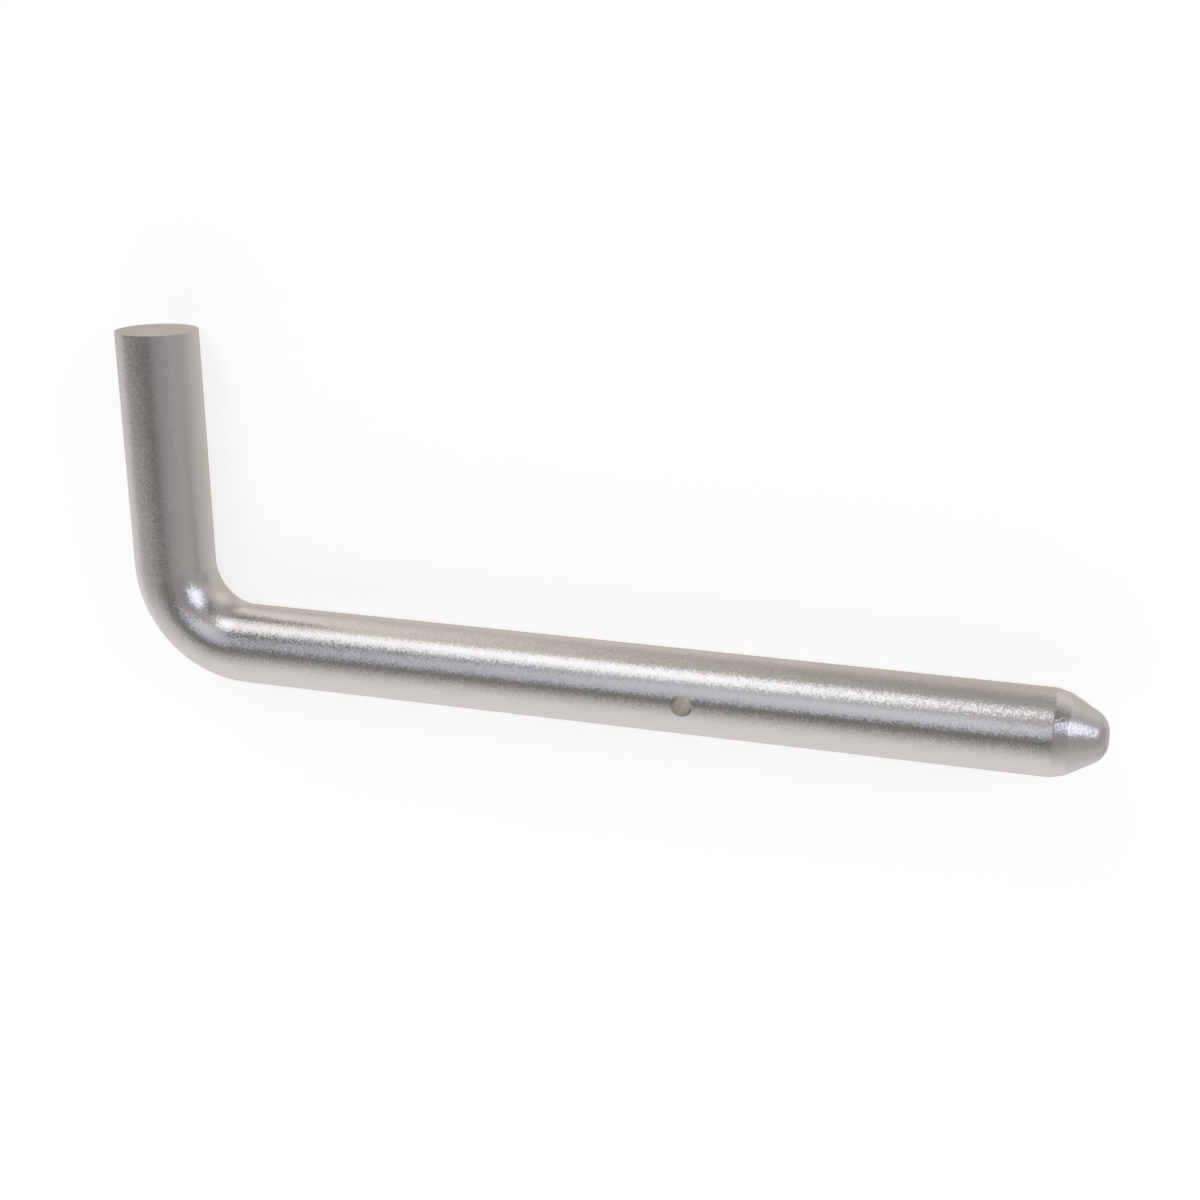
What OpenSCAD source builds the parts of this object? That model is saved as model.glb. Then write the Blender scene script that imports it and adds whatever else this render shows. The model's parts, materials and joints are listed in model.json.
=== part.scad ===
// Bent pin: one round steel bar with a right-angle handle, a tapered nose and a cross hole for a clip.
// It lies flat, with the bend in the XY plane. The origin is on the shank's axis where the bend ends,
// +X runs along the shank to the tip, +Y runs up the handle and +Z runs along the cross hole.

/* [Bar] */
// Diameter of the round bar
bar_diameter = 16; // [12:0.5:24]
// Radius of the bend, measured to the middle of the bar
bend_radius = 16; // [13:0.5:30]

/* [Legs] */
// Length over all, from the back of the handle to the tip
overall_length = 192; // [150:0.5:300]
// Height over all, from the far side of the shank to the handle's flat end
handle_height = 71; // [50:0.5:120]

/* [Nose] */
// Length of the shallow lead at the start of the nose
lead_length = 2.6; // [1:0.1:5]
// Slope of the lead against the shank
lead_angle = 15; // [5:1:22]
// Slope of the nose cone against the shank
cone_angle = 30; // [26:1:45]
// Radius that rounds the tip
tip_radius = 4.4; // [2:0.1:5.5]
// Diameter of the small flat in the middle of the tip
tip_flat = 1.6; // [0.4:0.1:4]
// Radius that softens the edges at both ends of the lead
edge_radius = 1.8; // [0.4:0.1:3]

/* [Clip hole] */
// Diameter of the cross hole for a spring clip or split pin
hole_diameter = 4; // [2:0.1:8]
// Distance from the middle of the cross hole to the tip
hole_to_tip = 75.5; // [20:0.5:140]

/* [Hidden] */
$fn = 96;

steel = [0.72, 0.70, 0.68];
bar_radius = bar_diameter / 2;
// Both legs' axes cross here, behind and below the start of the bend
corner_x = -bend_radius;
tip_x = corner_x - bar_radius + overall_length;
handle_end_y = handle_height - bar_radius;
hole_x = tip_x - hole_to_tip;
// The drill passes this far beyond the bar on both sides
drill_overrun = 1;

// Each rounded corner's arc crosses its two faces by this much instead of only touching them, which
// keeps sliver faces out of the solid
arc_bite = 0.0005;

// Corners of the nose before they are rounded, from its flat end back to the shank
end_corner_radius = tip_flat / 2 + (tip_radius - arc_bite) * tan((90 - cone_angle) / 2);
cone_start_radius = bar_radius - lead_length * tan(lead_angle);
cone_start_x = tip_x - (cone_start_radius - end_corner_radius) / tan(cone_angle);
lead_start_x = cone_start_x - lead_length;

// Direction square to a face that slopes down by this angle
function outward(slope) = [sin(slope), cos(slope)];

// What rounding takes off a corner where two faces meet: all that lies beyond an arc between them
module corner_waste(corner, radius, slope_a, slope_b) {
    half_turn = (slope_b - slope_a) / 2;
    to_centre = (radius - arc_bite) / cos(half_turn);
    // Long enough to pass the corner
    reach = 1.1 * radius / pow(cos(half_turn), 2);
    translate(corner - to_centre * outward(slope_a + half_turn))
        difference() {
            polygon([[0, 0], reach * outward(slope_b), reach * outward(slope_a)]);
            circle(r = radius);
        }
}

// Upper half of the shank and its nose, seen from the side
module shank_outline() {
    difference() {
        polygon([
            [0, 0],
            [0, bar_radius],
            [lead_start_x, bar_radius],
            [cone_start_x, cone_start_radius],
            [tip_x, end_corner_radius],
            [tip_x, 0]
        ]);
        corner_waste([lead_start_x, bar_radius], edge_radius, 0, lead_angle);
        corner_waste([cone_start_x, cone_start_radius], edge_radius, lead_angle, cone_angle);
        corner_waste([tip_x, end_corner_radius], tip_radius, cone_angle, 90);
    }
}

// Straight shank with its turned nose, along +X
module shank() {
    rotate([0, 90, 0])
        rotate_extrude()
            mirror([1, -1])
                shank_outline();
}

// Quarter turn of bar from the shank up to the handle
module bend() {
    translate([0, bend_radius, 0])
        rotate([0, 0, 180])
            rotate_extrude(angle = 90)
                translate([bend_radius, 0])
                    circle(r = bar_radius);
}

// Straight handle, sawn off square at its end
module handle() {
    translate([corner_x, bend_radius, 0])
        rotate([-90, 0, 0])
            cylinder(r = bar_radius, h = handle_end_y - bend_radius);
}

// Drill for the cross hole, square to the bend
module clip_hole() {
    translate([hole_x, 0, -bar_radius - drill_overrun])
        cylinder(d = hole_diameter, h = bar_diameter + 2 * drill_overrun);
}

module bent_pin() {
    color(steel)
        difference() {
            union() {
                shank();
                bend();
                handle();
            }
            clip_hole();
        }
}

bent_pin();
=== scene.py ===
import json
import math

import bpy
from mathutils import Matrix, Vector


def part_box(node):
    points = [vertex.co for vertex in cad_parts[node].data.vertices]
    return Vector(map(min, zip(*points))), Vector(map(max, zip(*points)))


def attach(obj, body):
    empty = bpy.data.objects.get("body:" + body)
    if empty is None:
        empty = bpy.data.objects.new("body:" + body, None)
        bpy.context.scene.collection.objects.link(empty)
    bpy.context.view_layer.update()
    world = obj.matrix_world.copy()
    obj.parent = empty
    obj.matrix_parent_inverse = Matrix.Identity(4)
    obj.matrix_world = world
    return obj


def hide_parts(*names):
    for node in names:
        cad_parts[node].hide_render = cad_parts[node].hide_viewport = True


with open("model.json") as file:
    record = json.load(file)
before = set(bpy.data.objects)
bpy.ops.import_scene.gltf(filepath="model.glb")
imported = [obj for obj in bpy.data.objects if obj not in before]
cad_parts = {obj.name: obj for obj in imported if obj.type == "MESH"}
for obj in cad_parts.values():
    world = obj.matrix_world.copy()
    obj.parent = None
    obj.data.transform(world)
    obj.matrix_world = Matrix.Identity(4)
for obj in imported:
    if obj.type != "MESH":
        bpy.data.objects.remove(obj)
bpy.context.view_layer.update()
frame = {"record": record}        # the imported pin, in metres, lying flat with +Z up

print("frame loaded")

# The bar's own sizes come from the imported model. Its origin is where the bend ends and the shank begins.
lowCorner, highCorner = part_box("bent_pin")
clipHole = next(mount for mount in frame["record"]["mounts"] if mount["name"] == "clip_hole")
bar = {
    "radius": highCorner.z,
    "bendRadius": -(lowCorner.x + highCorner.z),
    "handleEnd": highCorner.y,
    "tip": highCorner.x,
    "holeAt": clipHole["pos_m"][0],
    "holeRadius": clipHole["dims"]["r_mm"] / 1000,
}


# sRGB hex, as a colour looks on screen, to the linear colour that a shader takes
def linearColour(hexCode):
    channels = [int(hexCode[i:i + 2], 16) / 255 for i in (1, 3, 5)]
    linear = [c / 12.92 if c <= 0.04045 else ((c + 0.055) / 1.055) ** 2.4 for c in channels]
    return (*linear, 1.0)


# One node with its settings and its links; a setting is a socket's value or a property of the node
def addNode(tree, kind, settings=None, links=None):
    node = tree.nodes.new(kind)
    for name, value in (settings or {}).items():
        if name in node.inputs.keys() or isinstance(name, int):
            node.inputs[name].default_value = value
        else:
            setattr(node, name, value)
    for name, source in (links or {}).items():
        tree.links.new(source, node.inputs[name])
    return node


def deselectAll():
    if bpy.context.mode != "OBJECT":
        bpy.ops.object.mode_set(mode="OBJECT")
    bpy.ops.object.select_all(action="DESELECT")


# Camera: a 50 mm lens where the photograph was taken from, above and to the right of the pin. A separate
# program found its place and aim by fitting the pin's outline to the photograph's.
cameraSetup = {
    "place": (0.16304, 0.11402, 0.28447),
    "aim": (0.07445, 0.01645, 0.0),
    "lens": 50,
    "sensor": 36,
    "nearest": 0.001,           # the camera draws nothing closer
}


def makeCamera():
    place, aim = Vector(cameraSetup["place"]), Vector(cameraSetup["aim"])
    look = (aim - place).normalized()
    right = look.cross(Vector((0, 1, 0))).normalized()        # the photograph's upright is the handle's +Y
    up = right.cross(look)
    deselectAll()
    bpy.ops.object.camera_add()
    camera = bpy.context.object
    camera.name = camera.data.name = "camera"
    turn = Matrix((right, up, -look)).transposed().to_4x4()
    turn.translation = place
    camera.matrix_world = turn
    camera.data.lens = cameraSetup["lens"]
    camera.data.sensor_width = cameraSetup["sensor"]
    camera.data.clip_start = cameraSetup["nearest"]
    bpy.context.scene.camera = camera


makeCamera()
print("camera set")


# How the bar is turned and drilled, and how finely it is meshed
pinShape = {
    "leadLength": 0.0026,
    "leadSlope": math.radians(15),
    "coneSlope": math.radians(30),
    "tipRadius": 0.0044,
    "tipFlat": 0.0008,          # radius of the small flat in the middle of the tip
    "edgeRadius": 0.0018,       # softens both ends of the lead
    "pointsAround": 128,
    "ringSpacing": 0.002,       # along the straight legs
    "bendSteps": 40,
    "edgeSteps": 4,
    "tipSteps": 16,
    "holePoints": 72,
    "drillOverrun": 0.001,
    "mergeWithin": 0.000001,
    "mergeAfterDrilling": 0.00001,
    "smoothBelow": math.radians(30),
}


# Rings of the turned nose, as places along the axis with their radii, from the shank's end to the tip's flat
def noseRings():
    shape = pinShape
    lead, cone = shape["leadSlope"], shape["coneSlope"]
    endRadius = shape["tipFlat"] + shape["tipRadius"] * math.tan(math.pi / 4 - cone / 2)
    coneRadius = bar["radius"] - shape["leadLength"] * math.tan(lead)
    coneStart = bar["tip"] - (coneRadius - endRadius) / math.tan(cone)
    leadStart = coneStart - shape["leadLength"]

    def arc(centre, radius, slopeFrom, slopeTo, steps):
        slopes = [slopeFrom + (slopeTo - slopeFrom) * i / steps for i in range(steps + 1)]
        return [(centre[0] + radius * math.sin(s), centre[1] + radius * math.cos(s)) for s in slopes]

    def softEdge(x, radius, slopeFrom, slopeTo):
        half = (slopeTo - slopeFrom) / 2
        inward = shape["edgeRadius"] / math.cos(half)
        centre = (x - inward * math.sin(slopeFrom + half), radius - inward * math.cos(slopeFrom + half))
        return arc(centre, shape["edgeRadius"], slopeFrom, slopeTo, shape["edgeSteps"])

    rings = softEdge(leadStart, bar["radius"], 0, lead)
    rings += softEdge(coneStart, coneRadius, lead, cone)
    tipCentre = (bar["tip"] - shape["tipRadius"], shape["tipFlat"])
    rings += arc(tipCentre, shape["tipRadius"], cone, math.pi / 2, shape["tipSteps"])
    return rings


def extrudeRing(move):
    bpy.ops.mesh.extrude_edges_move(TRANSFORM_OT_translate={"value": move})


# One bar, from the sawn end of the handle round the bend and along the shank to the nose
def makeBar():
    shape, radius, bendRadius = pinShape, bar["radius"], bar["bendRadius"]
    deselectAll()
    bpy.ops.mesh.primitive_circle_add(
        vertices=shape["pointsAround"],
        radius=radius,
        location=(-bendRadius, bar["handleEnd"], 0),
        rotation=(math.pi / 2, 0, 0),
    )
    pin = bpy.context.object
    pin.name = pin.data.name = "bentPinBar"
    bpy.ops.object.transform_apply(location=True, rotation=True, scale=True)
    bpy.ops.object.mode_set(mode="EDIT")
    bpy.ops.mesh.select_all(action="SELECT")

    handleLength = bar["handleEnd"] - bendRadius
    handleRings = round(handleLength / shape["ringSpacing"])
    for _ in range(handleRings):
        extrudeRing((0, -handleLength / handleRings, 0))
    # A negative angle turns from the handle towards the shank
    bpy.ops.mesh.spin(
        steps=shape["bendSteps"], angle=-math.pi / 2, center=(0, bendRadius, 0), axis=(0, 0, 1)
    )

    rings = noseRings()
    shankRings = round(rings[0][0] / shape["ringSpacing"])
    for _ in range(shankRings):
        extrudeRing((rings[0][0] / shankRings, 0, 0))
    here, size = rings[0]
    for x, ringRadius in rings[1:]:
        extrudeRing((x - here, 0, 0))
        shrink = ringRadius / size
        bpy.ops.transform.resize(value=(1, shrink, shrink), center_override=(x, 0, 0))
        here, size = x, ringRadius
    extrudeRing((0, 0, 0))
    bpy.ops.mesh.merge(type="CENTER")        # closes the tip's flat at one pole

    bpy.ops.mesh.select_all(action="DESELECT")
    bpy.ops.mesh.select_non_manifold()
    bpy.ops.mesh.edge_face_add()             # the flat sawn end
    bpy.ops.mesh.select_all(action="SELECT")
    bpy.ops.mesh.remove_doubles(threshold=shape["mergeWithin"])
    bpy.ops.mesh.normals_make_consistent(inside=False)
    bpy.ops.object.mode_set(mode="OBJECT")
    return pin


# The cross hole is drilled right through, and keeps the crisp rim that the drill leaves
def drillHole(pin):
    shape = pinShape
    deselectAll()
    bpy.ops.mesh.primitive_cylinder_add(
        vertices=shape["holePoints"],
        radius=bar["holeRadius"],
        depth=2 * (bar["radius"] + shape["drillOverrun"]),
        location=(bar["holeAt"], 0, 0),
    )
    drill = bpy.context.object
    deselectAll()
    pin.select_set(True)
    bpy.context.view_layer.objects.active = pin
    cut = pin.modifiers.new("drill", "BOOLEAN")
    cut.operation = "DIFFERENCE"
    cut.solver = "EXACT"
    cut.object = drill
    bpy.ops.object.modifier_apply(modifier=cut.name)
    bpy.data.objects.remove(drill)
    bpy.ops.object.mode_set(mode="EDIT")
    bpy.ops.mesh.select_all(action="SELECT")
    # Clears the shortest edges that the cut leaves
    bpy.ops.mesh.remove_doubles(threshold=shape["mergeAfterDrilling"])
    bpy.ops.object.mode_set(mode="OBJECT")


pin = makeBar()
drillHole(pin)
deselectAll()
pin.select_set(True)
bpy.context.view_layer.objects.active = pin
bpy.ops.object.shade_smooth_by_angle(angle=pinShape["smoothBelow"])
print("bar modelled:", len(pin.data.polygons), "faces")


# Bead-blasted mild steel: a satin grey metal covered in fine dimples, whose slopes glitter where they mirror
# a bright panel. Each dimple is drawn as one small facet, tilted a little at random and of its own polish.
# The sawn end and the drilled hole were cut after the blasting, so neither has dimples. The end's colour is
# painted shade: darker and pinker than the steel, matched to how the end face is lit.
steelFinish = {
    "colour": "#ddd9d5",
    # painted shade: a darker, pinker colour on the sawn end that stands for how its face is lit
    "sawnColourPaintedShade": "#d8d0cd",
    "roughness": 0.215,
    "roughnessSpread": 0.03,    # from dimple to dimple
    "dimpleWidth": 0.00025,     # real beads leave about 0.1 mm; drawn coarser so that they show
    "dimpleLooseness": 0.5,
    "dimpleTilt": 0.10,
    "blotchWidth": 0.006,       # slow unevenness of the blasting
    "blotchDetail": 3,
    "blotchRoughness": 0.015,
    "maskMargin": 0.00001,      # the masks of the sawn end and the hole reach this far past their faces
}


def makeBlastedSteel():
    finish = steelFinish
    steel = bpy.data.materials.new("beadBlastedSteel")
    steel.use_nodes = True
    tree = steel.node_tree
    tree.nodes.clear()
    place = addNode(tree, "ShaderNodeTexCoord").outputs["Object"]

    # Masks of 1 on the sawn end and on the hole's wall, and 0 on the blasted surface
    along = addNode(tree, "ShaderNodeSeparateXYZ", None, {"Vector": place})
    sawn = addNode(
        tree, "ShaderNodeMath",
        {"operation": "GREATER_THAN", 1: bar["handleEnd"] - finish["maskMargin"]},
        {0: along.outputs["Y"]},
    )
    fromHole = addNode(
        tree, "ShaderNodeVectorMath",
        {"operation": "MULTIPLY_ADD", 1: (1, 1, 0), 2: (-bar["holeAt"], 0, 0)},
        {0: place},
    )
    reach = addNode(tree, "ShaderNodeVectorMath", {"operation": "LENGTH"}, {0: fromHole.outputs["Vector"]})
    drilled = addNode(
        tree, "ShaderNodeMath",
        {"operation": "LESS_THAN", 1: bar["holeRadius"] + finish["maskMargin"]},
        {0: reach.outputs["Value"]},
    )
    cut = addNode(
        tree, "ShaderNodeMath", {"operation": "MAXIMUM"},
        {0: sawn.outputs["Value"], 1: drilled.outputs["Value"]},
    ).outputs["Value"]
    # Painted shade: the sawn end takes its darker, pinker colour here
    colour = addNode(
        tree, "ShaderNodeMix",
        {"data_type": "RGBA", 6: linearColour(finish["colour"]), 7: linearColour(finish["sawnColourPaintedShade"])},
        {0: sawn.outputs["Value"]},
    )

    dimples = addNode(
        tree, "ShaderNodeTexVoronoi",
        {"Scale": 1 / finish["dimpleWidth"], "Randomness": finish["dimpleLooseness"]},
        {"Vector": place},
    )
    spread = addNode(
        tree, "ShaderNodeVectorMath",
        {"operation": "SUBTRACT", 1: (0.5, 0.5, 0.5)},
        {0: dimples.outputs["Color"]},
    )
    blasted = addNode(tree, "ShaderNodeMath", {"operation": "SUBTRACT", 0: 1.0}, {1: cut}).outputs["Value"]
    chance = addNode(
        tree, "ShaderNodeVectorMath",
        {"operation": "SCALE"},
        {0: spread.outputs["Vector"], "Scale": blasted},
    ).outputs["Vector"]
    tilt = addNode(
        tree, "ShaderNodeVectorMath",
        {"operation": "SCALE", "Scale": finish["dimpleTilt"]},
        {0: chance},
    )
    smooth = addNode(tree, "ShaderNodeNewGeometry").outputs["Normal"]
    tilted = addNode(
        tree, "ShaderNodeVectorMath",
        {"operation": "ADD"},
        {0: smooth, 1: tilt.outputs["Vector"]},
    )
    facing = addNode(tree, "ShaderNodeVectorMath", {"operation": "NORMALIZE"}, {0: tilted.outputs["Vector"]})

    blotch = addNode(
        tree, "ShaderNodeTexNoise",
        {"Scale": 1 / finish["blotchWidth"], "Detail": finish["blotchDetail"]},
        {"Vector": place},
    )
    slow = addNode(
        tree, "ShaderNodeMapRange",
        {
            "To Min": finish["roughness"] - finish["blotchRoughness"],
            "To Max": finish["roughness"] + finish["blotchRoughness"],
        },
        {"Value": blotch.outputs["Fac"]},
    )
    polish = addNode(tree, "ShaderNodeSeparateXYZ", None, {"Vector": chance}).outputs["X"]
    rough = addNode(
        tree, "ShaderNodeMath",
        {"operation": "MULTIPLY_ADD", 1: 2 * finish["roughnessSpread"]},
        {0: polish, 2: slow.outputs["Result"]},
    )
    shader = addNode(
        tree, "ShaderNodeBsdfPrincipled",
        {"Metallic": 1.0},
        {
            "Base Color": colour.outputs[2],
            "Roughness": rough.outputs["Value"],
            "Normal": facing.outputs["Vector"],
        },
    )
    addNode(tree, "ShaderNodeOutputMaterial", None, {"Surface": shader.outputs["BSDF"]})
    return steel


pin.data.materials.append(makeBlastedSteel())
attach(pin, "root")
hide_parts("bent_pin")
print("steel applied")


# Studio around the pin: soft round panels in a dim room, above and below the pin, and three dark boards that
# take light away, with a strength below zero. Their directions are degrees round from +X and degrees up, and
# each is at full strength inside one angle and gone beyond the other. These values weren't set by hand: a
# separate program fitted them to the photograph's tones on the steel, and they were rounded afterwards.
studio = {
    "room": {"colour": "#5b5954", "strength": 1.0},
    "panels": {
        "ceiling": {
            "round": 109, "up": 26.5, "full": 1, "gone": 23,
            "colour": "#f1f5ff", "strength": 1.27,
        },
        "window": {
            "round": 33.5, "up": 30.5, "full": 1, "gone": 25.5,
            "colour": "#dce5ff", "strength": 1.42,
        },
        "sky": {
            "round": 126, "up": 66.5, "full": 1, "gone": 27,
            "colour": "#e4edff", "strength": 0.67,
        },
        "front": {
            "round": -107, "up": -1, "full": 12, "gone": 88,
            "colour": "#fdfcff", "strength": 0.76,
        },
        "right": {
            "round": 30, "up": 11.5, "full": 58, "gone": 90,
            "colour": "#fffafe", "strength": 0.33,
        },
        "left": {
            "round": 135, "up": -7, "full": 10, "gone": 43.5,
            "colour": "#fff9f0", "strength": 0.65,
        },
        "under": {
            "round": 46, "up": -67.5, "full": 1, "gone": 63,
            "colour": "#fff7ec", "strength": 0.53,
        },
        "lowLeft": {
            "round": 161, "up": -26.5, "full": 29, "gone": 59.5,
            "colour": "#fffaf8", "strength": 0.29,
        },
        "lowBack": {
            "round": 45, "up": -9.5, "full": 20, "gone": 37.5,
            "colour": "#e9f8ff", "strength": 0.14,
        },
        "lowRight": {
            "round": -31, "up": -47, "full": 2, "gone": 58,
            "colour": "#cfebff", "strength": 0.12,
        },
        "boardBack": {
            "round": 54, "up": 17, "full": 14.5, "gone": 22.5,
            "colour": "#eef5ff", "strength": -0.27,
        },
        "boardLow": {
            "round": 21, "up": -42, "full": 2, "gone": 38,
            "colour": "#fff9f4", "strength": -0.31,
        },
        "boardHigh": {
            "round": 15, "up": 54, "full": 2, "gone": 35.5,
            "colour": "#fff7da", "strength": -0.11,
        },
    },
}


def makeStudio():
    world = bpy.data.worlds.new("studio")
    bpy.context.scene.world = world
    world.use_nodes = True
    tree = world.node_tree
    tree.nodes.clear()
    direction = addNode(tree, "ShaderNodeTexCoord").outputs["Generated"]
    light = addNode(
        tree, "ShaderNodeVectorMath",
        {
            "operation": "SCALE",
            0: linearColour(studio["room"]["colour"])[:3],
            "Scale": studio["room"]["strength"],
        },
    ).outputs["Vector"]
    for panel in studio["panels"].values():
        turn, rise = math.radians(panel["round"]), math.radians(panel["up"])
        towards = (math.cos(rise) * math.cos(turn), math.cos(rise) * math.sin(turn), math.sin(rise))
        facing = addNode(
            tree, "ShaderNodeVectorMath",
            {"operation": "DOT_PRODUCT", 1: towards},
            {0: direction},
        )
        patch = addNode(
            tree, "ShaderNodeMapRange",
            {
                "interpolation_type": "SMOOTHSTEP",
                "From Min": math.cos(math.radians(panel["gone"])),
                "From Max": math.cos(math.radians(panel["full"])),
                "To Max": panel["strength"],
            },
            {"Value": facing.outputs["Value"]},
        )
        glow = addNode(
            tree, "ShaderNodeVectorMath",
            {"operation": "SCALE", 0: linearColour(panel["colour"])[:3]},
            {"Scale": patch.outputs["Result"]},
        )
        light = addNode(
            tree, "ShaderNodeVectorMath",
            {"operation": "ADD"},
            {0: light, 1: glow.outputs["Vector"]},
        ).outputs["Vector"]
    room = addNode(tree, "ShaderNodeBackground", None, {"Color": light})
    white = addNode(tree, "ShaderNodeBackground", {"Color": (1, 1, 1, 1)})
    ray = addNode(tree, "ShaderNodeLightPath")
    shown = addNode(
        tree, "ShaderNodeMixShader", None,
        {0: ray.outputs["Is Camera Ray"], 1: room.outputs["Background"], 2: white.outputs["Background"]},
    )
    addNode(tree, "ShaderNodeOutputWorld", None, {"Surface": shown.outputs["Shader"]})


# A sheet of white paper under the pin. The camera sees it plain white with the pin's faint shadow. Mirrored
# in the steel, its white would bleach the metal, so glossy rays pass through it to the studio.
sheet = {
    "size": 6.0,
    "colour": "#f4f2ef",
    "glow": 0.55,               # brings the paper, as the studio lights it, up to white
}


def makeSheet():
    deselectAll()
    bpy.ops.mesh.primitive_plane_add(size=sheet["size"], location=(0, 0, -bar["radius"]))
    floor = bpy.context.object
    floor.name = floor.data.name = "paperSheet"
    bpy.ops.object.transform_apply(location=True, rotation=True, scale=True)
    paper = bpy.data.materials.new("mattWhitePaper")
    paper.use_nodes = True
    tree = paper.node_tree
    tree.nodes.clear()
    matt = addNode(tree, "ShaderNodeBsdfDiffuse", {"Color": linearColour(sheet["colour"])})
    glow = addNode(tree, "ShaderNodeEmission", {"Color": (1, 1, 1, 1), "Strength": sheet["glow"]})
    bright = addNode(
        tree, "ShaderNodeAddShader", None,
        {0: matt.outputs["BSDF"], 1: glow.outputs["Emission"]},
    )
    clear = addNode(tree, "ShaderNodeBsdfTransparent")
    ray = addNode(tree, "ShaderNodeLightPath")
    mirrored = addNode(
        tree, "ShaderNodeMixShader", None,
        {0: ray.outputs["Is Glossy Ray"], 1: matt.outputs["BSDF"], 2: clear.outputs["BSDF"]},
    )
    shown = addNode(
        tree, "ShaderNodeMixShader", None,
        {0: ray.outputs["Is Camera Ray"], 1: mirrored.outputs["Shader"], 2: bright.outputs["Shader"]},
    )
    addNode(tree, "ShaderNodeOutputMaterial", None, {"Surface": shown.outputs["Shader"]})
    floor.data.materials.append(paper)


makeStudio()
makeSheet()
bpy.context.scene.view_settings.view_transform = "Standard"
print("studio lit")
